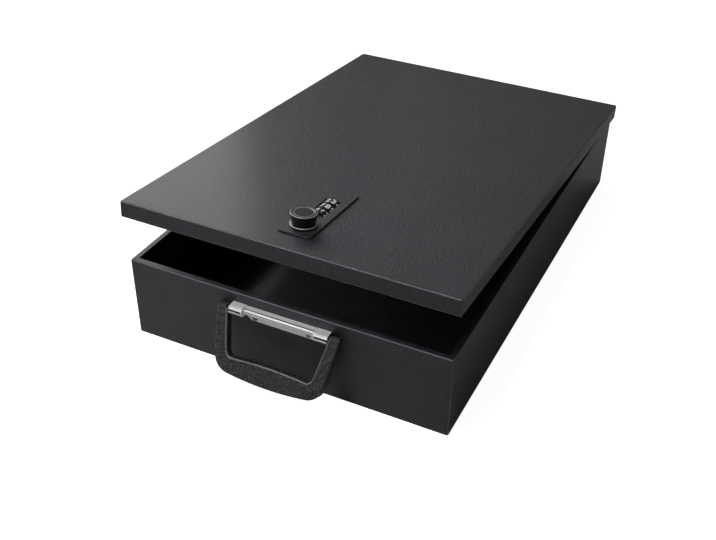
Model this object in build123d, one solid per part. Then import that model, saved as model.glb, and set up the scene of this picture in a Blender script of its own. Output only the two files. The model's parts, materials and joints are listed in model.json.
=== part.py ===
from build123d import *
import os

# Document box with a hinged lid standing ajar, a three-dial lock with a turning knob on the lid, and a
# carrying handle on the front wall. Millimetres, Z up, front towards -Y. The origin is the middle of the
# underside of the box. Lid pieces are drawn shut and then turned about the hinge pin to the ajar angle, and
# the handle is drawn hanging and then swung out to where its stiff pegs hold it.

# Sheet steel body
body_width = 360.0
body_depth = 550.0
rim_height = 94.0
sheet = 1.2
corner_radius = 2.4
bend_radius = 1.8
rim_return = 6.5
rim_lip = 8.0
seam = 0.4
mitre_start = 1.8

# Continuous hinge
hinge_length = 325.0
knuckle_count = 9
knuckle_radius = 2.3
knuckle_gap = 0.4
leaf_thickness = 1.0
leaf_height = 15.0
pin_radius = 1.3
pin_clearance = 0.04
hinge_clearance = 0.3

# Rivets
rivet_radius = 1.4
rivet_head_radius = 2.7
rivet_head_height = 1.1
rivet_tail_radius = 2.2
rivet_tail_height = 0.6
rivet_clearance = 0.1

# Lid
lid_height = 18.0
lid_ajar = 5.2
closing_gap = 0.1
buffer_thickness = 1.1
buffer_width = 5.0
buffer_length = 16.0
buffer_front_inset = 26.0
buffer_rear_inset = 120.0
hem_rear_stop = 22.0

# Carrying handle and its bracket
handle_pivot_drop = 16.0
handle_pivot_offset = 6.2
bracket_length = 110.0
cuff_length = 15.0
cuff_radius = 5.0
bracket_sheet = 1.0
bead_radius = 3.9
bead_rise = 0.6
flange_thickness = 1.2
flange_drop = 11.0
flange_slope = 5.0
bracket_rivet_spacing = 60.0
bracket_rivet_drop = 7.6
backing_length = 84.0
backing_height = 14.0
backing_thickness = 1.5
peg_clearance = 0.08
peg_length = 13.0
handle_end_gap = 1.5
handle_swing = 25.0
handle_reach = 67.3
handle_top_half_width = 70.0
handle_low_half_width = 59.0
handle_corner_radius = 19.0
handle_bow = 5.0
grip_height = 22.0
grip_bow = 2.5
grip_depth = 11.6
arm_width_low = 11.7
grip_inner_radius = 7.0
ear_radius = 5.4
handle_round = 2.0

# Combination lock on the lid
lock_front_inset = 27.0
plate_width = 36.0
plate_length = 106.0
plate_thickness = 2.0
plate_corner = 1.5
plate_bevel = 0.5
knob_inset = 20.0
knob_radius = 13.8
knob_waist_radius = 11.4
knob_height = 11.5
knob_bevel = 0.9
knob_rim = 1.6
knob_recess = 1.0
knob_gap = 0.3
knob_bore_depth = 7.5
collar_radius = 14.0
collar_height = 3.0
collar_bevel = 0.8
spindle_radius = 4.0
spindle_clearance = 0.05
spindle_square = 5.6
spindle_thread_radius = 2.8
hole_clearance = 0.6
barrel_radius = 7.5
case_floor = 1.5
case_inset = 3.0
cam_length = 40.0
cam_width = 14.0
cam_hub_radius = 9.0
cam_thickness = 2.5
cam_lip_clearance = 0.5
washer_radius = 6.5
washer_thickness = 1.0
nut_flats = 10.0
nut_height = 3.5
thread_tail = 1.0
screw_radius = 1.5
screw_head_radius = 2.8
screw_head_height = 1.8
boss_radius = 2.8
boss_drop = 7.0
screw_inset_x = 6.0
screw_inset_y = 6.5

# Number wheels
wheel_count = 3
wheel_radius = 10.0
wheel_width = 12.0
wheel_pitch = 12.6
wheel_first_inset = 52.0
wheel_rise = 2.6
wheel_positions = 10
wheel_notch_depth = 0.8
wheel_notch_length = 3.0
wheel_window_gap = 0.5
axle_radius = 1.5
axle_clearance = 0.05
axle_seat = 3.0
detent_thickness = 0.4
detent_width = 8.0
detent_gap = 0.3
detent_slit = 0.8

# Places worked out from the sizes above
half_width = body_width / 2
front_y = -body_depth / 2
rear_y = body_depth / 2
pin_y = rear_y - sheet - leaf_thickness + knuckle_radius
lid_overhang = pin_y + knuckle_radius + sheet - rear_y
skirt_low = rim_height + closing_gap + buffer_thickness
lid_top = skirt_low + lid_height
pin_z = skirt_low - hinge_clearance - knuckle_radius
hem_width = lid_overhang + rim_return
lid_front = front_y - lid_overhang
wall_rear_top = pin_z - knuckle_radius - hinge_clearance
body_leaf_low = wall_rear_top - leaf_height
pivot_y = front_y - handle_pivot_offset
pivot_z = rim_height - handle_pivot_drop
plate_front = lid_front + lock_front_inset
plate_top = lid_top + plate_thickness
knob_y = plate_front + knob_inset
wheel_z = plate_top + wheel_rise - wheel_radius
case_top = lid_top - sheet
case_low = wheel_z - wheel_radius - detent_gap - detent_thickness - case_floor
cam_top = rim_height - rim_lip - cam_lip_clearance
hinge_line = Axis((0, pin_y, pin_z), (-1, 0, 0))
handle_line = Axis((0, pivot_y, pivot_z), (-1, 0, 0))


def block(x0, x1, y0, y1, z0, z1):
    """A plain block between two corners."""
    middle = Pos((x0 + x1) / 2, (y0 + y1) / 2, (z0 + z1) / 2)
    return middle * Box(x1 - x0, y1 - y0, z1 - z0)


def rod_x(radius, x0, x1, y, z):
    """A round bar along X."""
    return Pos((x0 + x1) / 2, y, z) * Rot(0, 90, 0) * Cylinder(radius, x1 - x0)


def rod_y(radius, y0, y1, x, z):
    """A round bar along Y."""
    return Pos(x, (y0 + y1) / 2, z) * Rot(90, 0, 0) * Cylinder(radius, y1 - y0)


def rod_z(radius, z0, z1, x=0.0, y=0.0):
    """An upright round bar."""
    return Pos(x, y, (z0 + z1) / 2) * Cylinder(radius, z1 - z0)


def folded_block(half_x, y0, y1, z0, z1):
    """The outside of a folded pan, with rounded corners and rounded bends."""
    outline = RectangleRounded(2 * half_x, y1 - y0, corner_radius)
    solid = Pos(0, (y0 + y1) / 2, z0) * extrude(outline, z1 - z0)
    flat_faces = solid.faces().filter_by(Axis.Z)
    return fillet(flat_faces.edges(), bend_radius)


def corner_seams(half_x, y_face, z0, z1):
    """The fine upright seams where the end wall meets the bends of the side walls."""
    cut = Part()
    for side in (-1, 1):
        x0 = side * (half_x - corner_radius) - seam / 2
        cut += block(x0, x0 + seam, y_face - seam, y_face + seam, z0 + bend_radius, z1 - bend_radius)
    return cut


def knuckle_spans(first):
    """The X spans of every second knuckle, starting with the given one."""
    length = hinge_length / knuckle_count
    spans = []
    for i in range(first, knuckle_count, 2):
        start = -hinge_length / 2 + i * length
        spans.append((start + knuckle_gap / 2, start + length - knuckle_gap / 2))
    return spans


def body_tray():
    """Floor, four walls, the inward rim with its turned-down lip, and the notch for the hinge."""
    tray = folded_block(half_width, front_y, rear_y, 0, rim_height)
    inner_x = half_width - sheet
    tray -= block(-inner_x, inner_x, front_y + sheet, rear_y - sheet, sheet, rim_height - sheet)
    lip_x = half_width - rim_return
    lip_y = rear_y - rim_return
    tray -= block(-lip_x, lip_x, -lip_y, lip_y, sheet, rim_height + 1)
    outer_x = lip_x + sheet
    outer_y = lip_y + sheet
    lip = block(-outer_x, outer_x, -outer_y, outer_y, rim_height - rim_lip, rim_height - sheet)
    tray += lip - block(-lip_x, lip_x, -lip_y, lip_y, 0, rim_height)
    slit_length = rim_return * 2 ** 0.5
    for sx in (-1, 1):
        for sy in (-1, 1):
            angle = 45 * sx * sy
            reach = (mitre_start + slit_length / 2 + 0.5) / 2 ** 0.5
            place = Pos(sx * (half_width - reach), sy * (rear_y - reach), rim_height - rim_lip / 2)
            tray -= place * Rot(0, 0, angle) * Box(slit_length, seam, rim_lip + 2)
    tray -= corner_seams(half_width, front_y, 0, rim_height)
    tray -= corner_seams(half_width, rear_y, 0, rim_height)
    notch = hinge_length / 2 + 1.5
    tray -= block(-notch, notch, rear_y - sheet - 0.01, rear_y + 1, wall_rear_top, rim_height + 1)
    tray -= block(-notch, notch, lip_y - 1, rear_y - sheet, rim_height - rim_lip - 1, rim_height + 1)
    for x in (-bracket_rivet_spacing / 2, bracket_rivet_spacing / 2):
        z = pivot_z - bracket_rivet_drop
        tray -= rod_y(rivet_radius + rivet_clearance, front_y - 1, front_y + 2 * sheet, x, z)
    return tray


def lid_pan():
    """Top sheet, four skirts, and the inward hem along the front and the sides."""
    lid_half = half_width + lid_overhang
    lid_rear = rear_y + lid_overhang
    pan = folded_block(lid_half, lid_front, lid_rear, skirt_low, lid_top)
    inner_x = lid_half - sheet
    pan -= block(-inner_x, inner_x, lid_front + sheet, lid_rear - sheet, skirt_low + sheet, lid_top - sheet)
    hem_x = lid_half - hem_width
    pan -= block(-hem_x, hem_x, lid_front + hem_width, lid_rear - sheet, skirt_low - 1, lid_top - sheet)
    pan -= block(-inner_x, inner_x, lid_rear - hem_rear_stop, lid_rear - sheet, skirt_low - 1, lid_top - sheet)
    pan -= corner_seams(lid_half, lid_front, skirt_low, lid_top)
    pan -= corner_seams(lid_half, lid_rear, skirt_low, lid_top)
    pan -= window_block(lid_top - sheet, lid_top + 1, wheel_window_gap + hole_clearance)
    pan -= rod_z(barrel_radius + hole_clearance, lid_top - sheet - 1, lid_top + 1, 0, knob_y)
    for x, y in screw_places():
        pan -= rod_z(boss_radius + hole_clearance, lid_top - sheet - 1, lid_top + 1, x, y)
    return pan


def lid_buffers():
    """Four rubber pads on the underside of the hem, which land on the rim."""
    pads = []
    for side in (-1, 1):
        x = side * (half_width - rim_return / 2)
        for y in (front_y + buffer_front_inset, rear_y - buffer_rear_inset):
            x0, x1 = x - buffer_width / 2, x + buffer_width / 2
            y0, y1 = y - buffer_length / 2, y + buffer_length / 2
            pads.append(block(x0, x1, y0, y1, skirt_low - buffer_thickness, skirt_low))
    return Compound(pads)


def hinge_leaf_body():
    """The lower leaf, spot welded inside the rear wall, with every second knuckle."""
    y0 = pin_y - knuckle_radius
    y1 = y0 + leaf_thickness
    half = hinge_length / 2
    leaf = block(-half, half, y0, y1, body_leaf_low, wall_rear_top)
    for x0, x1 in knuckle_spans(0):
        leaf += block(x0, x1, y0, y1, wall_rear_top - 0.5, pin_z)
        leaf += rod_x(knuckle_radius, x0, x1, pin_y, pin_z)
    return leaf - rod_x(pin_radius + pin_clearance, -half - 1, half + 1, pin_y, pin_z)


def hinge_leaf_lid():
    """The upper leaf, spot welded inside the rear skirt of the lid, with the other knuckles."""
    y1 = pin_y + knuckle_radius
    y0 = y1 - leaf_thickness
    half = hinge_length / 2
    leaf = block(-half, half, y0, y1, skirt_low, skirt_low + leaf_height)
    for x0, x1 in knuckle_spans(1):
        leaf += block(x0, x1, y0, y1, pin_z, skirt_low + 0.5)
        leaf += rod_x(knuckle_radius, x0, x1, pin_y, pin_z)
    return leaf - rod_x(pin_radius + pin_clearance, -half - 1, half + 1, pin_y, pin_z)


def hinge_pin():
    """The wire that joins the two leaves."""
    half = hinge_length / 2
    return rod_x(pin_radius, -half, half, pin_y, pin_z)


def channel(radius, x0, x1, offset, z, thickness):
    """A half-round channel along X whose two legs stand on the front wall."""
    centre_y = front_y - offset
    outer = rod_x(radius, x0, x1, centre_y, z) + block(x0, x1, centre_y, front_y, z - radius, z + radius)
    inner_radius = radius - thickness
    inner = rod_x(inner_radius, x0 - 1, x1 + 1, centre_y, z)
    inner += block(x0 - 1, x1 + 1, centre_y, front_y + 1, z - inner_radius, z + inner_radius)
    return outer - inner


def handle_bracket():
    """Rolled and plated strap: a cuff at each end, a bead between them, and a riveted flange below."""
    half = bracket_length / 2
    cuff_start = half - cuff_length
    strap = channel(cuff_radius, cuff_start, half, handle_pivot_offset, pivot_z, bracket_sheet)
    strap += channel(cuff_radius, -half, -cuff_start, handle_pivot_offset, pivot_z, bracket_sheet)
    bead_z = pivot_z + bead_rise
    strap += channel(bead_radius, -cuff_start, cuff_start, bead_radius, bead_z, bracket_sheet)
    flange_low = pivot_z - flange_drop
    flange_high = bead_z - bead_radius + bracket_sheet
    low_x = cuff_start - flange_slope
    outline = Polyline((-low_x, flange_low), (low_x, flange_low), (cuff_start, flange_low + flange_slope),
                       (cuff_start, flange_high), (-cuff_start, flange_high),
                       (-cuff_start, flange_low + flange_slope), close=True)
    flange = extrude(make_face(Plane.XZ * outline), flange_thickness)
    strap += Pos(0, front_y, 0) * flange
    for side in (-1, 1):
        x0, x1 = sorted((side * cuff_start, side * (cuff_start + bracket_sheet)))
        shoulder = rod_x(cuff_radius, x0, x1, pivot_y, pivot_z)
        shoulder += block(x0, x1, pivot_y, front_y, pivot_z - cuff_radius, pivot_z + cuff_radius)
        strap += shoulder
        rivet_x = side * bracket_rivet_spacing / 2
        z = pivot_z - bracket_rivet_drop
        strap -= rod_y(rivet_radius + rivet_clearance, front_y - flange_thickness - 1, front_y + 1, rivet_x, z)
    return strap


def bracket_backing_plate():
    """The strip behind the front wall that spreads the pull of the handle."""
    y0 = front_y + sheet
    z = pivot_z - bracket_rivet_drop
    half = backing_length / 2
    plate = block(-half, half, y0, y0 + backing_thickness, z - backing_height / 2, z + backing_height / 2)
    upright = plate.edges().filter_by(Axis.Y)
    plate = fillet(upright, backing_height / 5)
    for x in (-bracket_rivet_spacing / 2, bracket_rivet_spacing / 2):
        plate -= rod_y(rivet_radius + rivet_clearance, y0 - 1, y0 + backing_thickness + 1, x, z)
    return plate


def bracket_rivets():
    """The two rivets through flange, wall and backing plate: a bevelled head outside, a flat one inside."""
    length = flange_thickness + sheet + backing_thickness
    half_height = rivet_head_height / 2
    profile = Polyline((0, -rivet_tail_height), (rivet_tail_radius, -rivet_tail_height), (rivet_tail_radius, 0),
                       (rivet_radius, 0), (rivet_radius, length), (rivet_head_radius, length),
                       (rivet_head_radius - half_height, length + rivet_head_height),
                       (0, length + rivet_head_height), close=True)
    rivet = Rot(90, 0, 0) * revolve(make_face(Plane.XZ * profile), Axis.Z)
    tail_y = front_y + sheet + backing_thickness
    z = pivot_z - bracket_rivet_drop
    half = bracket_rivet_spacing / 2
    return Compound([Pos(x, tail_y, z) * rivet for x in (-half, half)])


def handle_face():
    """The loop of the handle seen from the front, hanging straight down, on the XZ plane."""
    top = pivot_z + 2 * ear_radius
    bottom = pivot_z - handle_reach
    low = bottom + handle_bow
    upper = Line((-handle_top_half_width, top), (handle_top_half_width, top))
    right = Line((handle_top_half_width, top), (handle_low_half_width, low))
    under = ThreePointArc((handle_low_half_width, low), (0, bottom), (-handle_low_half_width, low))
    outer = make_face(upper + right + under + mirror(right, Plane.YZ))
    outer = fillet(outer.vertices().sort_by(Axis.Y)[:2], handle_corner_radius)
    inner_low = handle_low_half_width - arm_width_low
    inner_ear = bracket_length / 2 + handle_end_gap
    grip_top = bottom + grip_height
    grip_end = grip_top - grip_bow
    inner_top = inner_low + (inner_ear - inner_low) * (top + 1 - grip_end) / (pivot_z - grip_end)
    above = Line((-inner_top, top + 1), (inner_top, top + 1))
    arm = Line((inner_top, top + 1), (inner_low, grip_end))
    grip = ThreePointArc((inner_low, grip_end), (0, grip_top), (-inner_low, grip_end))
    hole = make_face(above + arm + grip + mirror(arm, Plane.YZ))
    return outer - fillet(hole.vertices().sort_by(Axis.Y)[:2], grip_inner_radius)


def handle_side():
    """The handle seen from its end: a round ear on the pegs and a grip that is a little deeper."""
    ear = Pos(pivot_y, pivot_z) * Circle(ear_radius)
    grip_top = pivot_z - handle_reach + grip_height
    grip = Pos(pivot_y, grip_top / 2) * Rectangle(grip_depth, grip_top)
    return make_hull(ear.edges() + grip.edges())


def handle_loop():
    """One moulded loop with a peg at the inside of each ear, which turns in the cuffs of the bracket."""
    front_view = Plane((0, rear_y, 0), x_dir=(1, 0, 0), z_dir=(0, -1, 0)) * handle_face()
    loop = extrude(front_view, 2 * body_depth)
    side_view = Plane((-body_width, 0, 0), x_dir=(0, 1, 0), z_dir=(1, 0, 0)) * handle_side()
    loop &= extrude(side_view, 2 * body_width)
    loop = fillet(loop.edges(), handle_round)
    peg_radius = cuff_radius - bracket_sheet - peg_clearance
    ear_inner = bracket_length / 2 + handle_end_gap
    peg_end = ear_inner - peg_length
    for x0, x1 in ((peg_end, ear_inner + handle_round), (-ear_inner - handle_round, -peg_end)):
        loop += rod_x(peg_radius, x0, x1, pivot_y, pivot_z)
    return loop.rotate(handle_line, handle_swing)


def screw_places():
    """The four places of the screws that clamp the lock to the lid."""
    x = plate_width / 2 - screw_inset_x
    y0 = plate_front + screw_inset_y
    y1 = plate_front + plate_length - screw_inset_y
    return [(sx * x, y) for sx in (-1, 1) for y in (y0, y1)]


def wheel_places():
    """The Y places of the number wheels."""
    return [plate_front + wheel_first_inset + i * wheel_pitch for i in range(wheel_count)]


def window_block(z0, z1, gap):
    """The space that the number wheels need, up to z1; it is as wide as they are at z0, and a gap wider."""
    places = wheel_places()
    drop = max(z0 - wheel_z, 0)
    reach = (wheel_radius ** 2 - drop ** 2) ** 0.5 + gap
    y0 = places[0] - wheel_width / 2 - gap
    y1 = places[-1] + wheel_width / 2 + gap
    return block(-reach, reach, y0, y1, z0, z1)


def lock_plate():
    """The face plate on the lid, with the window for the wheels and blind bosses for the screws."""
    outline = RectangleRounded(plate_width, plate_length, plate_corner)
    middle_y = plate_front + plate_length / 2
    plate = Pos(0, middle_y, lid_top) * extrude(outline, plate_thickness)
    plate = chamfer(plate.faces().sort_by(Axis.Z)[-1].edges(), plate_bevel)
    plate -= window_block(lid_top, plate_top + 1, wheel_window_gap)
    plate -= rod_z(spindle_radius + spindle_clearance, lid_top - 1, plate_top + 1, 0, knob_y)
    for x, y in screw_places():
        plate += rod_z(boss_radius, lid_top - boss_drop, lid_top + plate_thickness / 2, x, y)
        plate -= rod_z(screw_radius + rivet_clearance, lid_top - boss_drop - 1, lid_top, x, y)
    return plate


def lock_case():
    """The case under the lid: a pocket for the wheels, seats for their axle, and the spindle's barrel."""
    half_x = plate_width / 2 - case_inset
    y0 = plate_front + case_inset
    y1 = plate_front + plate_length - case_inset
    case = block(-half_x, half_x, y0, y1, case_low, case_top)
    case = fillet(case.edges().filter_by(Axis.Z), case_inset)
    case += rod_z(barrel_radius, cam_top + knob_gap, case_low + 1, 0, knob_y)
    case -= window_block(case_low + case_floor, case_top + 1, wheel_window_gap)
    case -= rod_z(spindle_radius + spindle_clearance, 0, case_top + 1, 0, knob_y)
    places = wheel_places()
    reach = wheel_width / 2 + wheel_window_gap + axle_seat
    case -= rod_y(axle_radius, places[0] - reach, places[-1] + reach, 0, wheel_z)
    case -= block(-axle_radius, axle_radius, places[0] - reach, places[-1] + reach, wheel_z, case_top + 1)
    for x, y in screw_places():
        case -= rod_z(boss_radius + rivet_clearance, lid_top - boss_drop, case_top + 1, x, y)
        case -= rod_z(screw_radius + rivet_clearance, case_low - 1, case_top, x, y)
    return case


def lock_screws():
    """Four screws from below, through the case into the bosses of the plate."""
    screws = []
    for x, y in screw_places():
        head = rod_z(screw_head_radius, case_low - screw_head_height, case_low, x, y)
        screws.append(head + rod_z(screw_radius, case_low, lid_top - 1, x, y))
    return Compound(screws)


def dial_axle():
    """The rod that the number wheels turn on."""
    places = wheel_places()
    reach = wheel_width / 2 + wheel_window_gap + axle_seat
    return rod_y(axle_radius, places[0] - reach, places[-1] + reach, 0, wheel_z)


def dial_detent_spring():
    """The flat spring under the wheels, slit into one tongue for each wheel."""
    places = wheel_places()
    y0 = places[0] - wheel_width / 2
    y1 = places[-1] + wheel_width / 2
    z0 = case_low + case_floor
    strip = block(-detent_width / 2, detent_width / 2, y0, y1, z0, z0 + detent_thickness)
    for a, b in zip(places, places[1:]):
        slit_y = (a + b - detent_slit) / 2
        strip -= block(1 - detent_width / 2, detent_width, slit_y, slit_y + detent_slit, z0 - 1, z0 + 2)
    return strip


def dial_wheel(y):
    """A number wheel: a smooth band for the numbers and a notched band for the finger."""
    wheel = rod_y(wheel_radius, y - wheel_width / 2, y + wheel_width / 2, 0, wheel_z)
    wheel = chamfer(wheel.edges().filter_by(GeomType.CIRCLE), plate_bevel)
    step = 360 / wheel_positions
    side = wheel_notch_depth * 2 ** 0.5
    notch = Box(side, 2 * wheel_notch_length, side)
    for i in range(wheel_positions):
        turn = Rot(0, (i + 0.5) * step, 0) * Pos(0, 0, wheel_radius) * Rot(0, 45, 0)
        wheel -= Pos(0, y - wheel_width / 2, wheel_z) * turn * notch
    return wheel - rod_y(axle_radius + axle_clearance, y - wheel_width, y + wheel_width, 0, wheel_z)


def knob_collar():
    """The ring that the knob turns in, on top of the plate."""
    z1 = plate_top + collar_height
    ring = rod_z(collar_radius, plate_top, z1, 0, knob_y)
    ring = chamfer(ring.faces().sort_by(Axis.Z)[-1].edges(), collar_bevel)
    return ring - rod_z(spindle_radius + spindle_clearance, plate_top - 1, z1 + 1, 0, knob_y)


def knob():
    """The turning knob: narrow at the foot, wider at the dished top."""
    z0 = plate_top + collar_height + knob_gap
    z1 = z0 + knob_height
    bore = spindle_radius + spindle_clearance
    shoulder = z1 - 3 * knob_bevel
    profile = Polyline((bore, z0), (knob_waist_radius, z0), (knob_waist_radius, z0 + knob_bevel),
                       (knob_radius, shoulder), (knob_radius, z1 - knob_bevel), (knob_radius - knob_bevel, z1),
                       (knob_radius - knob_bevel - knob_rim, z1),
                       (knob_radius - knob_bevel - knob_rim - knob_recess, z1 - knob_recess),
                       (0, z1 - knob_recess), (0, z0 + knob_bore_depth), (bore, z0 + knob_bore_depth), close=True)
    return Pos(0, knob_y, 0) * revolve(make_face(Plane.XZ * profile), Axis.Z)


def knob_spindle():
    """The shaft from the knob to the cam: round, then square for the cam, then threaded for the nut."""
    top = plate_top + collar_height + knob_gap + knob_bore_depth - knob_gap
    spindle = rod_z(spindle_radius, cam_top, top, 0, knob_y)
    half = spindle_square / 2
    low = cam_top - cam_thickness
    spindle += block(-half, half, knob_y - half, knob_y + half, low, cam_top)
    tail = low - washer_thickness - nut_height - thread_tail
    return spindle + rod_z(spindle_thread_radius, tail, low, 0, knob_y)


def cam_latch():
    """The flat arm that swings under the lip of the front rim; drawn unlocked, pointing to +X."""
    z0 = cam_top - cam_thickness
    half = spindle_square / 2 + spindle_clearance
    arm = rod_z(cam_hub_radius, z0, cam_top, 0, knob_y)
    tip_x = cam_length - cam_width / 2
    arm += block(0, tip_x, knob_y - cam_width / 2, knob_y + cam_width / 2, z0, cam_top)
    arm += rod_z(cam_width / 2, z0, cam_top, tip_x, knob_y)
    return arm - block(-half, half, knob_y - half, knob_y + half, z0 - 1, cam_top + 1)


def cam_washer():
    """The washer between cam and nut."""
    z1 = cam_top - cam_thickness
    ring = rod_z(washer_radius, z1 - washer_thickness, z1, 0, knob_y)
    return ring - rod_z(spindle_thread_radius + spindle_clearance, 0, z1 + 1, 0, knob_y)


def cam_nut():
    """The hexagon nut that holds the cam on the spindle."""
    z1 = cam_top - cam_thickness - washer_thickness
    outline = RegularPolygon(nut_flats / 2, 6, major_radius=False)
    nut = Pos(0, knob_y, z1 - nut_height) * extrude(outline, nut_height)
    return nut - rod_z(spindle_thread_radius + spindle_clearance, 0, z1 + 1, 0, knob_y)


fixed_pieces = {
    "body_tray": body_tray(),
    "hinge_leaf_body": hinge_leaf_body(),
    "hinge_pin": hinge_pin(),
    "handle_bracket": handle_bracket(),
    "bracket_backing_plate": bracket_backing_plate(),
    "bracket_rivets": bracket_rivets(),
    "handle_loop": handle_loop(),
}
lid_pieces = {
    "lid_pan": lid_pan(),
    "lid_buffers": lid_buffers(),
    "hinge_leaf_lid": hinge_leaf_lid(),
    "lock_plate": lock_plate(),
    "lock_case": lock_case(),
    "lock_screws": lock_screws(),
    "dial_axle": dial_axle(),
    "dial_detent_spring": dial_detent_spring(),
    "knob_collar": knob_collar(),
    "knob": knob(),
    "knob_spindle": knob_spindle(),
    "cam_latch": cam_latch(),
    "cam_washer": cam_washer(),
    "cam_nut": cam_nut(),
}
for number, wheel_y in enumerate(wheel_places(), start=1):
    lid_pieces[f"dial_wheel_{number}"] = dial_wheel(wheel_y)

os.makedirs("parts", exist_ok=True)
for name, solid in fixed_pieces.items():
    export_step(solid, f"parts/{name}.step")
for name, solid in lid_pieces.items():
    export_step(solid.rotate(hinge_line, lid_ajar), f"parts/{name}.step")

print("hinge line y, z", round(pin_y, 3), round(pin_z, 3))
print("handle line y, z", round(pivot_y, 3), round(pivot_z, 3))
print("knob y, plate top, wheel z, shut", round(knob_y, 3), round(plate_top, 3), round(wheel_z, 3))
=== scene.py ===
import bmesh
import bpy
import json
from math import cos, pi, radians, sin
from mathutils import Matrix, Vector


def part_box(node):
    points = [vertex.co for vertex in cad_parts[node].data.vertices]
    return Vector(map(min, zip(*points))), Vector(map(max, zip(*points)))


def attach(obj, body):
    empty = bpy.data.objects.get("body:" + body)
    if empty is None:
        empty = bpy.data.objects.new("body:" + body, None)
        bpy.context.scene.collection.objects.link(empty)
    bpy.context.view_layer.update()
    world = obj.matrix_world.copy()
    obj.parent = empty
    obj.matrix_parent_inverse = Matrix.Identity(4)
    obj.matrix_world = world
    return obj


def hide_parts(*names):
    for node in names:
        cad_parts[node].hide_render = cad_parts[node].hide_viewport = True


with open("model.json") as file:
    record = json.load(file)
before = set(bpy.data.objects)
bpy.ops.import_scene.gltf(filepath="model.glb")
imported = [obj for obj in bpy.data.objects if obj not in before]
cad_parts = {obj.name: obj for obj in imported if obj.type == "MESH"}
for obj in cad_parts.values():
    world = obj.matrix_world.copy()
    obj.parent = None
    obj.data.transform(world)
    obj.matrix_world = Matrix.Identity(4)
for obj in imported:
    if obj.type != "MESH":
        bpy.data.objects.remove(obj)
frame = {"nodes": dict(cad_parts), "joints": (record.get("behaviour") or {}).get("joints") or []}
nodes = frame["nodes"]
joints = {joint["name"]: joint for joint in frame["joints"]}
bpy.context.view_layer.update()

# Body tray. One sheet of steel folded into a floor and four walls, with an inward rim and a turned-down
# lip. It is sprayed with black wrinkle enamel, which dries to a fine leathery grain. The lid pan and the
# lock's face plate have the same coat.
MM = 0.001
lid_tilt = joints["lid_hinge"]["range_deg"][0]
noise_low = 0.3
noise_high = 0.7
enamel_black = (0.017, 0.017, 0.022, 1)
enamel_worn = (0.025, 0.025, 0.031, 1)
# The outer bends of the body and the lid are painted lighter, as a highlight along their edges.
enamel_bend_highlight = (0.2, 0.2, 0.21, 1)
# The bends of the lock's face plate are painted darker instead, as shade on its side faces.
plate_bend_shade = (0.004, 0.004, 0.004, 1)
enamel_tint = (0.92, 0.93, 1, 1)
enamel_cloud = 60 * MM
enamel_grain = 1.5 * MM
enamel_grain_depth = 1.4 * MM
enamel_grain_strength = 0.9
enamel_roughness = 0.46
enamel_speckle = 0.12
bend_roughness = 0.28
bend_reach = 1.3 * MM
bend_core = 0.4


def new_material(name):
    """A node material with its tree and its shader."""
    material = bpy.data.materials.new(name)
    material.use_nodes = True
    tree = material.node_tree
    shader = tree.nodes["Principled BSDF"]
    return material, tree, shader


def grain(tree, size, detail=2.0):
    """A noise with spots of the given size in metres, on the object's own coordinates."""
    place = tree.nodes.new("ShaderNodeTexCoord")
    noise = tree.nodes.new("ShaderNodeTexNoise")
    noise.inputs["Scale"].default_value = 1 / size
    noise.inputs["Detail"].default_value = detail
    tree.links.new(place.outputs["Object"], noise.inputs["Vector"])
    return noise.outputs["Fac"]


def mixed_colour(tree, factor, low, high, start=noise_low, end=noise_high):
    """A colour that runs between two others as the factor rises."""
    ramp = tree.nodes.new("ShaderNodeValToRGB")
    ramp.color_ramp.elements[0].position = start
    ramp.color_ramp.elements[0].color = low
    ramp.color_ramp.elements[1].position = end
    ramp.color_ramp.elements[1].color = high
    tree.links.new(factor, ramp.inputs["Fac"])
    return ramp.outputs["Color"]


def ranged(tree, factor, low, high):
    """A number that runs between two others as the factor rises."""
    span = tree.nodes.new("ShaderNodeMapRange")
    span.inputs["From Min"].default_value = noise_low
    span.inputs["From Max"].default_value = noise_high
    span.inputs["To Min"].default_value = low
    span.inputs["To Max"].default_value = high
    tree.links.new(factor, span.inputs["Value"])
    return span.outputs["Result"]


def bumped(tree, shader, height, depth, strength=1.0):
    """Raises the surface by the given depth in metres where the height is one."""
    bump = tree.nodes.new("ShaderNodeBump")
    bump.inputs["Strength"].default_value = strength
    bump.inputs["Distance"].default_value = depth
    tree.links.new(height, bump.inputs["Height"])
    tree.links.new(bump.outputs["Normal"], shader.inputs["Normal"])


def blended(tree, kind, factor, first, second):
    """A mix of a socket and a fixed value, which has its full share where the factor is one."""
    mix = tree.nodes.new("ShaderNodeMix")
    mix.data_type = kind
    wanted = "RGBA" if kind == "RGBA" else "VALUE"
    ends = [socket for socket in mix.inputs if socket.type == wanted][-2:]
    tree.links.new(factor, mix.inputs[0])
    tree.links.new(first, ends[0])
    ends[1].default_value = second
    return [socket for socket in mix.outputs if socket.type == wanted][0]


def own_box(name, tilt):
    """The centre and the half sizes of a CAD node along its own sides, where it lies turned about X."""
    turned_back = Matrix.Rotation(radians(-tilt), 3, "X")
    points = [turned_back @ vertex.co for vertex in nodes[name].data.vertices]
    low = Vector([min(point[i] for point in points) for i in range(3)])
    high = Vector([max(point[i] for point in points) for i in range(3)])
    return Matrix.Rotation(radians(tilt), 3, "X") @ ((low + high) / 2), (high - low) / 2


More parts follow.
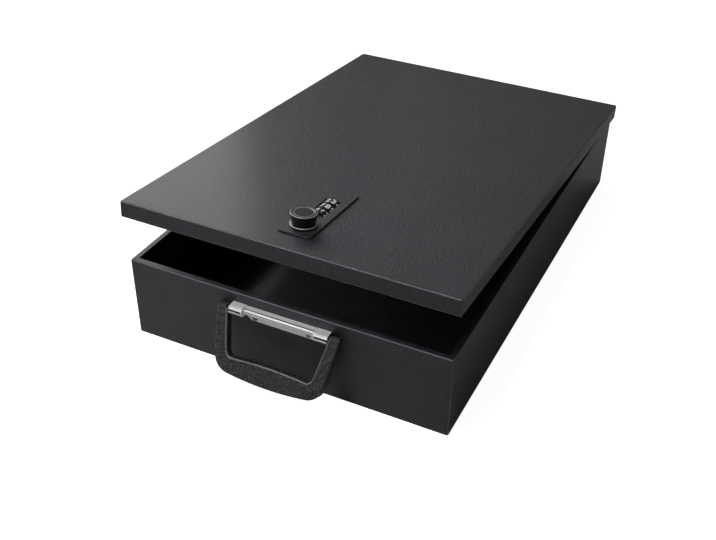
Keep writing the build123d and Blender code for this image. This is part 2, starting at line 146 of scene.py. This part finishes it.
def bends(tree, name, tilt, reach):
    """One on the outer bends of a folded piece and zero on its flats, on the object's own coordinates."""
    centre, half = own_box(name, tilt)
    place = tree.nodes.new("ShaderNodeTexCoord")
    own = tree.nodes.new("ShaderNodeMapping")
    own.vector_type = "TEXTURE"
    own.inputs["Location"].default_value = centre
    own.inputs["Rotation"].default_value = (radians(tilt), 0, 0)
    tree.links.new(place.outputs["Object"], own.inputs["Vector"])
    outward = tree.nodes.new("ShaderNodeVectorMath")
    outward.operation = "ABSOLUTE"
    tree.links.new(own.outputs["Vector"], outward.inputs[0])
    parts = tree.nodes.new("ShaderNodeSeparateXYZ")
    tree.links.new(outward.outputs["Vector"], parts.inputs[0])
    nears = []
    for axis, size in zip("XYZ", half):
        near = tree.nodes.new("ShaderNodeMapRange")
        near.inputs["From Min"].default_value = size - reach
        near.inputs["From Max"].default_value = size - bend_core * reach
        tree.links.new(parts.outputs[axis], near.inputs["Value"])
        nears.append(near.outputs["Result"])
    best = None
    for first, second in ((0, 1), (1, 2), (0, 2)):
        both = tree.nodes.new("ShaderNodeMath")
        both.operation = "MULTIPLY"
        tree.links.new(nears[first], both.inputs[0])
        tree.links.new(nears[second], both.inputs[1])
        if best is None:
            best = both.outputs[0]
            continue
        larger = tree.nodes.new("ShaderNodeMath")
        larger.operation = "MAXIMUM"
        tree.links.new(best, larger.inputs[0])
        tree.links.new(both.outputs[0], larger.inputs[1])
        best = larger.outputs[0]
    return best


def wrinkle_enamel(name, tilt, bend_painted_light):
    """Black enamel with a wrinkled grain and faint cloudiness, smoother on the bends, which get a painted
    highlight or shade.
    """
    material, tree, shader = new_material(f"wrinkle_enamel_{name}")
    wrinkles = grain(tree, enamel_grain, detail=3.0)
    cloud = grain(tree, enamel_cloud, detail=3.0)
    bend = bends(tree, name, tilt, bend_reach)
    colour = mixed_colour(tree, cloud, enamel_black, enamel_worn)
    rough = ranged(tree, wrinkles, enamel_roughness - enamel_speckle, enamel_roughness + enamel_speckle)
    tree.links.new(blended(tree, "RGBA", bend, colour, bend_painted_light), shader.inputs["Base Color"])
    tree.links.new(blended(tree, "FLOAT", bend, rough, bend_roughness), shader.inputs["Roughness"])
    shader.inputs["Specular IOR Level"].default_value = 0.55
    shader.inputs["Specular Tint"].default_value = enamel_tint
    shader.inputs["Coat Weight"].default_value = 0.3
    shader.inputs["Coat Roughness"].default_value = 0.2
    bumped(tree, shader, wrinkles, enamel_grain_depth, enamel_grain_strength)
    return material


def dress(material, *names):
    """Gives CAD nodes a finish."""
    for name in names:
        slots = nodes[name].data.materials
        slots.clear()
        slots.append(material)


for name, tilt, bend_painted_light in (("body_tray", 0, enamel_bend_highlight), ("lid_pan", lid_tilt, enamel_bend_highlight),
                                ("lock_plate", lid_tilt, plate_bend_shade)):
    dress(wrinkle_enamel(name, tilt, bend_painted_light), name)

# Hinge leaves, hinge pin and small hardware. Mild steel, bright zinc plated, with a faint drawn grain and
# slightly dull patches. The leaves are spot welded inside the rear wall and the rear skirt of the lid.
zinc_light = (0.62, 0.62, 0.63, 1)
zinc_dull = (0.44, 0.44, 0.46, 1)
zinc_spangle = 2.5 * MM
zinc_grain = 0.5 * MM
zinc_grain_depth = 0.03 * MM


def zinc_plate():
    """Bright zinc plating with a fine spangle."""
    material, tree, shader = new_material("zinc_plate")
    spangle = grain(tree, zinc_spangle, detail=3.0)
    tree.links.new(mixed_colour(tree, spangle, zinc_dull, zinc_light), shader.inputs["Base Color"])
    tree.links.new(ranged(tree, spangle, low=0.42, high=0.28), shader.inputs["Roughness"])
    shader.inputs["Metallic"].default_value = 1.0
    bumped(tree, shader, grain(tree, zinc_grain), zinc_grain_depth)
    return material


dress(zinc_plate(), "hinge_leaf_body", "hinge_leaf_lid", "hinge_pin", "bracket_backing_plate", "lock_screws",
      "dial_detent_spring", "knob_spindle", "cam_latch", "cam_washer", "cam_nut")

# Lid buffers. Four pads of soft black rubber, matt and slightly dusty. They are glued to the underside of the
# lid's hem and land on the rim of the body.
rubber_dark = (0.012, 0.012, 0.012, 1)
rubber_dusty = (0.035, 0.035, 0.034, 1)
rubber_dust = 4 * MM
rubber_grain = 0.4 * MM
rubber_grain_depth = 0.05 * MM


def soft_rubber():
    """Matt black rubber."""
    material, tree, shader = new_material("soft_rubber")
    dust = grain(tree, rubber_dust, detail=4.0)
    tree.links.new(mixed_colour(tree, dust, rubber_dark, rubber_dusty), shader.inputs["Base Color"])
    shader.inputs["Roughness"].default_value = 0.85
    bumped(tree, shader, grain(tree, rubber_grain), rubber_grain_depth)
    return material


dress(soft_rubber(), "lid_buffers")

# Handle bracket. A steel strap rolled round the handle's pegs, polished and chromed, with faint lengthwise
# polishing lines. Its cuffs hold the pegs, a bead stiffens it between them, and its flange is riveted to the
# front wall.
# The chrome is three quarters diffuse, so its near-white colour is a painted reflection of a bright studio.
chrome_tint_and_painted_reflection = (0.95, 0.955, 0.965, 1)
chrome_line_scale = (40, 3000, 3000)
chrome_line_depth = 0.01 * MM


def polished_chrome():
    """Chrome with faint polishing lines along X, three quarters diffuse white as a painted reflection."""
    material, tree, shader = new_material("polished_chrome")
    place = tree.nodes.new("ShaderNodeTexCoord")
    stretch = tree.nodes.new("ShaderNodeMapping")
    stretch.inputs["Scale"].default_value = chrome_line_scale
    lines = tree.nodes.new("ShaderNodeTexNoise")
    lines.inputs["Scale"].default_value = 1.0
    tree.links.new(place.outputs["Object"], stretch.inputs["Vector"])
    tree.links.new(stretch.outputs["Vector"], lines.inputs["Vector"])
    shader.inputs["Base Color"].default_value = chrome_tint_and_painted_reflection
    shader.inputs["Metallic"].default_value = 0.25
    rough = ranged(tree, lines.outputs["Fac"], low=0.12, high=0.22)
    tree.links.new(rough, shader.inputs["Roughness"])
    bumped(tree, shader, lines.outputs["Fac"], chrome_line_depth)
    return material


front_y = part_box("body_tray")[0].y
pivot_y, pivot_z = joints["handle_swing"]["pos_m"][1:]
strap_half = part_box("handle_bracket")[1].x
strap_cuff = 40 * MM
strap_sheet = 1 * MM
cuff_radius = 5 * MM
bead_radius = 3.9 * MM
bead_z = pivot_z + 0.6 * MM
flange_low = pivot_z - 11 * MM
flange_slope = 5 * MM
flange_thickness = 1.2 * MM
seam_depth = 0.45 * MM
cuff_arcs = ((90, 153), (179, 270))
bead_arcs = ((90, 104), (121, 157), (170, 270))
arc_steps = 24
weld_distance = 0.001 * MM
sharp_angle = 35
strap_bevel = 0.12 * MM
strap_bevel_angle = 50


def strap_arc(radius, thickness, centre_y, centre_z, start, end):
    """The section of a rolled sheet in the YZ plane between two angles, run on to the wall at 90 and 270."""
    outer = []
    inner = []
    for i in range(arc_steps + 1):
        turn = radians(start + (end - start) * i / arc_steps)
        for path, reach in ((outer, radius), (inner, radius - thickness)):
            path.append((centre_y + reach * cos(turn), centre_z + reach * sin(turn)))
    for path, reach in ((outer, radius), (inner, radius - thickness)):
        if start == 90:
            path.insert(0, (front_y, centre_z + reach))
        if end == 270:
            path.append((front_y, centre_z - reach))
    return outer + inner[::-1]


def add_solid(shape, low_end, high_end):
    """A closed solid between two outlines with as many corners each."""
    ends = [[shape.verts.new(point) for point in outline] for outline in (low_end, high_end)]
    shape.faces.new(ends[0])
    shape.faces.new(ends[1][::-1])
    count = len(low_end)
    for i in range(count):
        j = (i + 1) % count
        shape.faces.new((ends[0][i], ends[1][i], ends[1][j], ends[0][j]))


def add_prism(shape, section, x0, x1):
    """A closed bar along X with the given section in the YZ plane."""
    add_solid(shape, *[[(x, y, z) for y, z in section] for x in (x0, x1)])


def add_plate(shape, outline, y0, y1):
    """A closed plate with the given outline in the XZ plane."""
    add_solid(shape, *[[(x, y, z) for x, z in outline] for y in (y0, y1)])


def finished(name, shape, material):
    """Turns a bmesh into an object with smooth curves and sharp corners."""
    bmesh.ops.remove_doubles(shape, verts=shape.verts[:], dist=weld_distance)
    bmesh.ops.recalc_face_normals(shape, faces=shape.faces[:])
    for face in shape.faces:
        face.smooth = True
    for edge in shape.edges:
        edge.smooth = len(edge.link_faces) == 2 and edge.calc_face_angle(0) < radians(sharp_angle)
    mesh = bpy.data.meshes.new(name)
    shape.to_mesh(mesh)
    shape.free()
    piece = bpy.data.objects.new(name, mesh)
    bpy.context.collection.objects.link(piece)
    piece.data.materials.append(material)
    return piece


strap = bmesh.new()
for side in (-1, 1):
    for start, end in cuff_arcs:
        section = strap_arc(cuff_radius, seam_depth, pivot_y, pivot_z, start, end)
        add_prism(strap, section, side * (strap_cuff + strap_sheet), side * strap_half)
    shoulder = [(front_y, pivot_z + cuff_radius)]
    for i in range(arc_steps + 1):
        turn = pi / 2 + pi * i / arc_steps
        shoulder.append((pivot_y + cuff_radius * cos(turn), pivot_z + cuff_radius * sin(turn)))
    shoulder.append((front_y, pivot_z - cuff_radius))
    add_prism(strap, shoulder, side * strap_cuff, side * (strap_cuff + strap_sheet))
for start, end in bead_arcs:
    section = strap_arc(bead_radius, seam_depth, front_y - bead_radius, bead_z, start, end)
    add_prism(strap, section, -strap_cuff, strap_cuff)
flange_high = bead_z - bead_radius + strap_sheet
flange_half = strap_cuff - flange_slope
flange = [(-flange_half, flange_low), (flange_half, flange_low), (strap_cuff, flange_low + flange_slope),
          (strap_cuff, flange_high), (-strap_cuff, flange_high), (-strap_cuff, flange_low + flange_slope)]
add_plate(strap, flange, front_y - flange_thickness, front_y)
bracket = finished("rolled_strap", strap, polished_chrome())
edge_bevel = bracket.modifiers.new("edges", "BEVEL")
edge_bevel.width = strap_bevel
edge_bevel.segments = 2
edge_bevel.limit_method = "ANGLE"
edge_bevel.angle_limit = radians(strap_bevel_angle)
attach(bracket, "body")
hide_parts("handle_bracket")

# Seams of the bracket. The inner layer of the rolled strap, where it shows between the edges of the outer
# one, is painted black as shade and dark reflection in the slits.
seam_painted_shade = (0.004, 0.004, 0.004, 1)
seam_speckle = 1 * MM


def painted_seam_shade():
    """Painted shade for the slits of the strap, black, matt and slightly uneven."""
    material, tree, shader = new_material("painted_seam_shade")
    shade_speckle = grain(tree, seam_speckle)
    tree.links.new(mixed_colour(tree, shade_speckle, seam_painted_shade, rubber_dark), shader.inputs["Base Color"])
    shader.inputs["Roughness"].default_value = 0.9
    shader.inputs["Specular IOR Level"].default_value = 0.1
    return material


seams = bmesh.new()
layer = strap_sheet - seam_depth
for side in (-1, 1):
    section = strap_arc(cuff_radius - seam_depth, layer, pivot_y, pivot_z, 90, 270)
    add_prism(seams, section, side * (strap_cuff + strap_sheet), side * strap_half)
section = strap_arc(bead_radius - seam_depth, layer, front_y - bead_radius, bead_z, 90, 270)
add_prism(seams, section, -strap_cuff, strap_cuff)
seam_piece = finished("strap_seams", seams, painted_seam_shade())
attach(seam_piece, "body")

# Bracket rivets. Bright steel with dull, slightly oily heads. They go through the flange, the front wall and
# the backing plate.
rivet_light = (0.3, 0.28, 0.27, 1)
rivet_dull = (0.12, 0.11, 0.1, 1)
rivet_patch = 2 * MM


def oily_steel():
    """Dull steel with oily patches."""
    material, tree, shader = new_material("oily_steel")
    patches = grain(tree, rivet_patch, detail=3.0)
    tree.links.new(mixed_colour(tree, patches, rivet_dull, rivet_light), shader.inputs["Base Color"])
    shader.inputs["Metallic"].default_value = 1.0
    shader.inputs["Roughness"].default_value = 0.35
    return material


dress(oily_steel(), "bracket_rivets")

# Handle loop. Moulded in one piece from black plastic, with a fine spark-eroded grain all over, which is
# smoother on the rounding of the opening for the hand, where a highlight is painted in a lighter colour.
plastic_black = (0.007, 0.007, 0.0075, 1)
plastic_light = (0.05, 0.05, 0.053, 1)
# The grip's inner rounding is painted lighter, as a highlight where the light catches it.
plastic_painted_highlight = (0.3, 0.3, 0.31, 1)
plastic_grain = 2.1 * MM
plastic_grain_depth = 2.4 * MM
rubbed_roughness = 0.25
handle_lean = radians(25)
handle_facing = Vector((0, -cos(handle_lean), sin(handle_lean)))
handle_upward = Vector((0, sin(handle_lean), cos(handle_lean)))
grip_upward = 0.15
arm_inward = 0.3
rounding_low = 0.25
rounding_high = 0.93
ear_clearance = 8 * MM


def painted_rim_highlight(tree, shader, colour, rough, highlight_colour, worn_roughness):
    """Colours a finish and paints a smoother highlight on the faces that a piece's attribute marks as
    rounded.
    """
    rounded = tree.nodes.new("ShaderNodeAttribute")
    rounded.attribute_name = "rounded"
    edge = rounded.outputs["Fac"]
    tree.links.new(blended(tree, "RGBA", edge, colour, highlight_colour), shader.inputs["Base Color"])
    tree.links.new(blended(tree, "FLOAT", edge, rough, worn_roughness), shader.inputs["Roughness"])


def mark_rounded(piece, is_rounded):
    """Stores one on the faces that the test picks and zero on the others."""
    rounded = piece.data.attributes.new("rounded", "FLOAT", "FACE")
    for polygon, value in zip(piece.data.polygons, rounded.data):
        value.value = 1.0 if is_rounded(polygon) else 0.0


def grained_plastic():
    """Black moulded plastic with a pebbled grain, smoother on the inner edge of the grip, which has a painted
    highlight.
    """
    material, tree, shader = new_material("grained_plastic")
    pebbles = grain(tree, plastic_grain)
    colour = mixed_colour(tree, pebbles, plastic_black, plastic_light, start=0.4, end=0.6)
    rough = ranged(tree, pebbles, low=0.55, high=0.35)
    painted_rim_highlight(tree, shader, colour, rough, plastic_painted_highlight, rubbed_roughness)
    shader.inputs["Coat Weight"].default_value = 0.3
    shader.inputs["Coat Roughness"].default_value = 0.2
    bumped(tree, shader, pebbles, plastic_grain_depth)
    return material


def on_inner_rounding(polygon):
    """Tells whether a face of the handle lies on the front rounding of its opening, below the ears."""
    normal = polygon.normal
    on_grip = normal.dot(handle_upward) > grip_upward
    on_arm = abs(normal.x) > arm_inward and normal.x * polygon.center.x < 0
    below_ears = polygon.center.z < pivot_z - ear_clearance
    return (on_grip or on_arm) and below_ears and rounding_low < normal.dot(handle_facing) < rounding_high


handle_shape = bmesh.new()
handle_shape.from_mesh(nodes["handle_loop"].data)
handle = finished("grained_loop", handle_shape, grained_plastic())
mark_rounded(handle, on_inner_rounding)
level_normals = handle.modifiers.new("level", "WEIGHTED_NORMAL")
level_normals.keep_sharp = True
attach(handle, "handle")
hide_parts("handle_loop")

# Number wheels. Moulded from matt black plastic, each with a smooth band for the numbers and a band of ten
# notches for the finger. They turn on the axle inside the lock case.
wheel_black = (0.006, 0.006, 0.0065, 1)
wheel_dusty = (0.014, 0.014, 0.0145, 1)
wheel_dust = 2 * MM
wheel_grain = 0.4 * MM
wheel_grain_depth = 0.02 * MM


def matt_plastic():
    """Matt black plastic with a trace of dust."""
    material, tree, shader = new_material("matt_plastic")
    dust = grain(tree, wheel_dust, detail=3.0)
    tree.links.new(mixed_colour(tree, dust, wheel_black, wheel_dusty), shader.inputs["Base Color"])
    shader.inputs["Roughness"].default_value = 0.5
    shader.inputs["Specular IOR Level"].default_value = 0.2
    bumped(tree, shader, grain(tree, wheel_grain), wheel_grain_depth)
    return material


dress(matt_plastic(), "dial_wheel_1", "dial_wheel_2", "dial_wheel_3")

# Lock case. Die-cast zinc under a smooth satin black coat. It is screwed from below into the bosses of the
# face plate, with the sheet of the lid between them.
satin_black = (0.006, 0.006, 0.0065, 1)
satin_light = (0.010, 0.010, 0.0105, 1)
# The rounded rims of the knob and the collar are painted light grey, as a highlight.
satin_painted_highlight = (0.42, 0.42, 0.43, 1)
satin_cloud = 6 * MM
satin_grain = 0.5 * MM
satin_grain_depth = 0.02 * MM
satin_worn_roughness = 0.22


def satin_coat():
    """A smooth satin black coat, with a painted highlight on the faces that are marked as rounded."""
    material, tree, shader = new_material("satin_coat")
    cloud = grain(tree, satin_cloud, detail=3.0)
    colour = mixed_colour(tree, cloud, satin_black, satin_light)
    rough = ranged(tree, cloud, low=0.32, high=0.4)
    painted_rim_highlight(tree, shader, colour, rough, satin_painted_highlight, satin_worn_roughness)
    shader.inputs["Specular IOR Level"].default_value = 0.25
    shader.inputs["Coat Weight"].default_value = 0.6
    shader.inputs["Coat Roughness"].default_value = 0.1
    bumped(tree, shader, grain(tree, satin_grain), satin_grain_depth)
    return material


satin = satin_coat()
dress(satin, "lock_case")

# Knob collar. A turned and coated ring with a rounded shoulder, pressed against the face plate. The knob
# turns just above it.
knob_base = Vector(joints["knob_turn"]["pos_m"])
knob_axis = Vector(joints["knob_turn"]["axis"]).normalized()
turned_steps = 96
shoulder_low = 0.3
shoulder_high = 0.97
spindle_bore = 4.05 * MM
collar_radius = 14 * MM
collar_height = 3 * MM
collar_round = 1 * MM


def corner(radius, height, size, start, end, steps=6):
    """The points of a rounded corner whose circle has its centre at the given radius and height."""
    points = []
    for i in range(steps + 1):
        turn = radians(start + (end - start) * i / steps)
        points.append((radius + size * cos(turn), height + size * sin(turn)))
    return points


def on_shoulder(polygon):
    """Tells whether a face of a turned piece slants upwards, as the roundings of its rims do."""
    return shoulder_low < polygon.normal.dot(knob_axis) < shoulder_high


def turned(name, outline, material, base):
    """A piece turned about the knob's axis from a closed outline of radii and heights."""
    side = Vector((1, 0, 0))
    front = knob_axis.cross(side)
    shape = bmesh.new()
    rings = []
    for i in range(turned_steps):
        turn = 2 * pi * i / turned_steps
        out = side * cos(turn) + front * sin(turn)
        ring = []
        for radius, height in outline:
            ring.append(shape.verts.new(knob_base + out * radius + knob_axis * (base + height)))
        rings.append(ring)
    count = len(outline)
    for i in range(turned_steps):
        a, b = rings[i], rings[(i + 1) % turned_steps]
        for j in range(count):
            k = (j + 1) % count
            shape.faces.new((a[j], b[j], b[k], a[k]))
    piece = finished(name, shape, material)
    # Its slanted rims take the painted highlight of its finish.
    mark_rounded(piece, on_shoulder)
    return piece


collar_outline = [(spindle_bore, 0), (collar_radius, 0)]
collar_outline += corner(collar_radius - collar_round, collar_height - collar_round, collar_round, 0, 90)
collar_outline += [(spindle_bore, collar_height)]
collar = turned("collar_ring", collar_outline, satin, 0)
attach(collar, "lid")
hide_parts("knob_collar")

# Knob. Die-cast and coated like the case, narrow at the foot and wider at the top, with a rounded rim round a
# shallow dish and a fine ring cut in the dish. It sits on the top end of the spindle.
knob_foot = 11.4 * MM
knob_foot_chamfer = 0.4 * MM
knob_wide = 13.8 * MM
knob_height = 11.5 * MM
knob_round = 0.9 * MM
knob_dish = 0.6 * MM
knob_dish_radius = 11.2 * MM
knob_dish_round = 0.3 * MM
knob_ring_radius = 9.9 * MM
knob_ring_depth = 0.4 * MM
knob_bore_depth = 7.5 * MM
knob_lift = 3.3 * MM

knob_floor = knob_height - knob_dish
dish_top = knob_height - knob_dish_round
dish_foot = knob_floor + knob_dish_round
knob_outline = [(spindle_bore, 0), (knob_foot - knob_foot_chamfer, 0), (knob_foot, knob_foot_chamfer),
                (knob_foot, knob_round), (knob_wide, knob_height - 3 * knob_round)]
knob_outline += corner(knob_wide - knob_round, knob_height - knob_round, knob_round, 0, 90)
knob_outline += corner(knob_dish_radius + knob_dish_round, dish_top, knob_dish_round, 90, 180, steps=4)
knob_outline += corner(knob_dish_radius - knob_dish_round, dish_foot, knob_dish_round, 0, -90, steps=4)
knob_outline += [(knob_ring_radius + knob_ring_depth, knob_floor),
                 (knob_ring_radius, knob_floor - knob_ring_depth),
                 (knob_ring_radius - knob_ring_depth, knob_floor)]
knob_outline += [(0, knob_floor), (0, knob_bore_depth), (spindle_bore, knob_bore_depth)]
knob_piece = turned("knob_cap", knob_outline, satin, knob_lift)
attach(knob_piece, "knob")
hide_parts("knob")

# Numbers on the wheels. White digits from 0 to 9, printed on the moulded wheels as a thin film that follows
# their curve, upright for someone in front of the box.
digit_white = (0.94, 0.94, 0.92, 1)
digit_thin = (0.8, 0.8, 0.78, 1)
digit_ink = 0.8 * MM
digit_count = 10
digit_height = 8.2 * MM
digit_width = 4.9 * MM
digit_one_share = 0.55
digit_weight = 0.045
digit_lift = 0.03 * MM
digit_strips = 8
digit_weld = 0.002 * MM
wheel_radius = 10 * MM
digits_shown = (6, 8, 3)


def flat_digit(text):
    """The flat outline of one digit, filled, in the middle of the XY plane and cut into upright strips."""
    curve = bpy.data.curves.new("digit", "FONT")
    curve.body = text
    curve.offset = digit_weight
    curve.resolution_u = 6
    holder = bpy.data.objects.new("digit", curve)
    shape = bmesh.new()
    shape.from_mesh(bpy.data.meshes.new_from_object(holder))
    bpy.data.objects.remove(holder)
    xs = [vertex.co.x for vertex in shape.verts]
    ys = [vertex.co.y for vertex in shape.verts]
    middle_x = (min(xs) + max(xs)) / 2
    middle_y = (min(ys) + max(ys)) / 2
    wide = digit_width / (max(xs) - min(xs)) * (digit_one_share if text == "1" else 1)
    tall = digit_height / (max(ys) - min(ys))
    for vertex in shape.verts:
        vertex.co = ((vertex.co.x - middle_x) * wide, (vertex.co.y - middle_y) * tall, 0)
    for i in range(1, digit_strips):
        x = digit_width * (i / digit_strips - 0.5)
        everything = shape.verts[:] + shape.edges[:] + shape.faces[:]
        bmesh.ops.bisect_plane(shape, geom=everything, plane_co=(x, 0, 0), plane_no=(1, 0, 0))
    bmesh.ops.remove_doubles(shape, verts=shape.verts[:], dist=digit_weld)
    return shape


def white_print():
    """White pad-printed ink, slightly uneven."""
    material, tree, shader = new_material("white_print")
    ink = grain(tree, digit_ink)
    tree.links.new(mixed_colour(tree, ink, digit_thin, digit_white), shader.inputs["Base Color"])
    shader.inputs["Roughness"].default_value = 0.45
    return material


def wheel_numbers(name, joint_name, body, shown, material):
    """One ring of digits wrapped on a wheel, with the given one at the right of the top."""
    joint = joints[joint_name]
    centre = Vector(joint["pos_m"])
    along = Vector(joint["axis"]).normalized()
    right = Vector((1, 0, 0))
    up = right.cross(along)
    radius = wheel_radius + digit_lift
    ring = bmesh.new()
    for number in range(digit_count):
        middle = (number + 0.5) * 2 * pi / digit_count
        digit = flat_digit(str((number + shown) % digit_count))
        made = {}
        for vertex in digit.verts:
            angle = middle + vertex.co.x / wheel_radius
            out = right * sin(angle) + up * cos(angle)
            made[vertex] = ring.verts.new(centre + out * radius + along * vertex.co.y)
        for face in digit.faces:
            ring.faces.new([made[vertex] for vertex in face.verts])
        digit.free()
    for face in ring.faces:
        face.normal_update()
        if face.normal.dot(face.calc_center_median() - centre) < 0:
            face.normal_flip()
    mesh = bpy.data.meshes.new(name)
    ring.to_mesh(mesh)
    ring.free()
    numbers = bpy.data.objects.new(name, mesh)
    bpy.context.collection.objects.link(numbers)
    numbers.data.materials.append(material)
    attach(numbers, body)


print_white = white_print()
for number, shown in enumerate(digits_shown, start=1):
    wheel_numbers(f"dial_numbers_{number}", f"dial_{number}_turn", f"dial_{number}", shown, print_white)

# Dial axle. A plain drawn brass rod with dull patches. It lies in the seats of the lock case and carries the
# number wheels.
brass_light = (0.75, 0.55, 0.25, 1)
brass_dull = (0.55, 0.38, 0.16, 1)
brass_patch = 3 * MM


def drawn_brass():
    """Brass rod with dull patches."""
    material, tree, shader = new_material("drawn_brass")
    patches = grain(tree, brass_patch, detail=3.0)
    tree.links.new(mixed_colour(tree, patches, brass_dull, brass_light), shader.inputs["Base Color"])
    shader.inputs["Metallic"].default_value = 1.0
    shader.inputs["Roughness"].default_value = 0.35
    return material


dress(drawn_brass(), "dial_axle")

# Floor. A pale seamless sheet of paper under the box. It glows for the camera, so that it shows white and
# still keeps the box's soft shadow.
floor_colour = (0.8, 0.8, 0.8, 1)
floor_glow = 0.93
floor_half = 6.0

floor_shape = bmesh.new()
bmesh.ops.create_grid(floor_shape, x_segments=1, y_segments=1, size=floor_half)
floor_mesh = bpy.data.meshes.new("floor")
floor_shape.to_mesh(floor_mesh)
floor_shape.free()
floor = bpy.data.objects.new("floor", floor_mesh)
bpy.context.collection.objects.link(floor)


def white_floor():
    """White paper that glows for the camera alone, and lights the box as plain paper does."""
    material, tree, shader = new_material("white_floor")
    shader.inputs["Base Color"].default_value = floor_colour
    shader.inputs["Roughness"].default_value = 0.9
    shader.inputs["Specular IOR Level"].default_value = 0.0
    rays = tree.nodes.new("ShaderNodeLightPath")
    glow = tree.nodes.new("ShaderNodeMath")
    glow.operation = "MULTIPLY"
    glow.inputs[1].default_value = floor_glow
    tree.links.new(rays.outputs["Is Camera Ray"], glow.inputs[0])
    shader.inputs["Emission Color"].default_value = (1, 1, 1, 1)
    tree.links.new(glow.outputs[0], shader.inputs["Emission Strength"])
    return material


floor.data.materials.append(white_floor())

# World. An even studio, white where the camera or a clear piece sees it and dim for the light that falls on
# the box and for what its enamel and its metal mirror.
world_light = 0.085
world_white = 1.0
world = bpy.data.worlds.new("studio")
bpy.context.scene.world = world
world.use_nodes = True
world_tree = world.node_tree
sky = world_tree.nodes["Background"]
sky.inputs["Color"].default_value = (1, 1, 1, 1)
rays = world_tree.nodes.new("ShaderNodeLightPath")
seen = world_tree.nodes.new("ShaderNodeMath")
seen.operation = "MAXIMUM"
world_tree.links.new(rays.outputs["Is Camera Ray"], seen.inputs[0])
world_tree.links.new(rays.outputs["Is Transmission Ray"], seen.inputs[1])
level = world_tree.nodes.new("ShaderNodeMapRange")
level.inputs["To Min"].default_value = world_light
level.inputs["To Max"].default_value = world_white
world_tree.links.new(seen.outputs[0], level.inputs["Value"])
world_tree.links.new(level.outputs["Result"], sky.inputs["Strength"])

# Lamps. A wide soft box behind on the left sheens the lid, and a weak one straight behind its right half. A
# soft key stands high in front on the left. Two lower ones on the left light the front wall and the knob's
# rims, one overhead the chrome and the numbers, and a weak one in front the handle.


def soft_box(name, place, target, size, power, spread=180):
    """A square area lamp that faces a point, with a grid in front where its spread is narrow."""
    lamp = bpy.data.lights.new(name, "AREA")
    lamp.shape = "SQUARE"
    lamp.size = size
    lamp.energy = power
    lamp.spread = radians(spread)
    holder = bpy.data.objects.new(name, lamp)
    bpy.context.collection.objects.link(holder)
    holder.location = place
    holder.rotation_euler = (Vector(target) - Vector(place)).to_track_quat("-Z", "Y").to_euler()


soft_box("back_left_box", place=(-1.7, 1.3, 1.3), target=(-0.1, -0.1, 0.15), size=1.4, power=18.5)
soft_box("front_left_key", place=(-1.2, -2.0, 1.9), target=(0, 0, 0.05), size=1.6, power=11.5)
soft_box("left_side_box", place=(-2.4, -0.5, 1.1), target=(0, 0, 0.1), size=1.2, power=6)
soft_box("knob_edge_box", place=(-2.4, 0.1, 0.7), target=(0, -0.2, 0.15), size=0.6, power=5)
soft_box("overhead_box", place=(-0.25, -0.55, 1.75), target=(-0.03, -0.24, 0.12), size=0.4, power=0.24,
         spread=25)
soft_box("handle_box", place=(-0.45, -1.6, 0.5), target=(0, -0.28, 0.06), size=0.5, power=0.05, spread=30)
soft_box("back_fill", place=(-0.2, 2.0, 1.2), target=(0.05, -0.05, 0.1), size=1.4, power=1.5)

# Camera. Above the front right corner, at the photograph's angle. Its focal length is given in pixels of the
# photograph's width.
photo_width = 716
sensor_width = 36.0
camera_focal_pixels = 1011.1
camera_place = (0.4085, -0.9475, 0.6848)
camera_yaw = 25.89
camera_pitch = 34.87
camera_roll = 0.71

camera_data = bpy.data.cameras.new("camera")
camera_data.sensor_fit = "HORIZONTAL"
camera_data.sensor_width = sensor_width
camera_data.lens = camera_focal_pixels / photo_width * sensor_width
camera = bpy.data.objects.new("camera", camera_data)
bpy.context.collection.objects.link(camera)
aim = Matrix.Rotation(radians(camera_yaw), 4, "Z") @ Matrix.Rotation(radians(90 - camera_pitch), 4, "X")
roll = Matrix.Rotation(radians(camera_roll), 4, "Z")
camera.matrix_world = Matrix.Translation(camera_place) @ aim @ roll
bpy.context.scene.camera = camera
bpy.context.scene.view_settings.view_transform = "Standard"
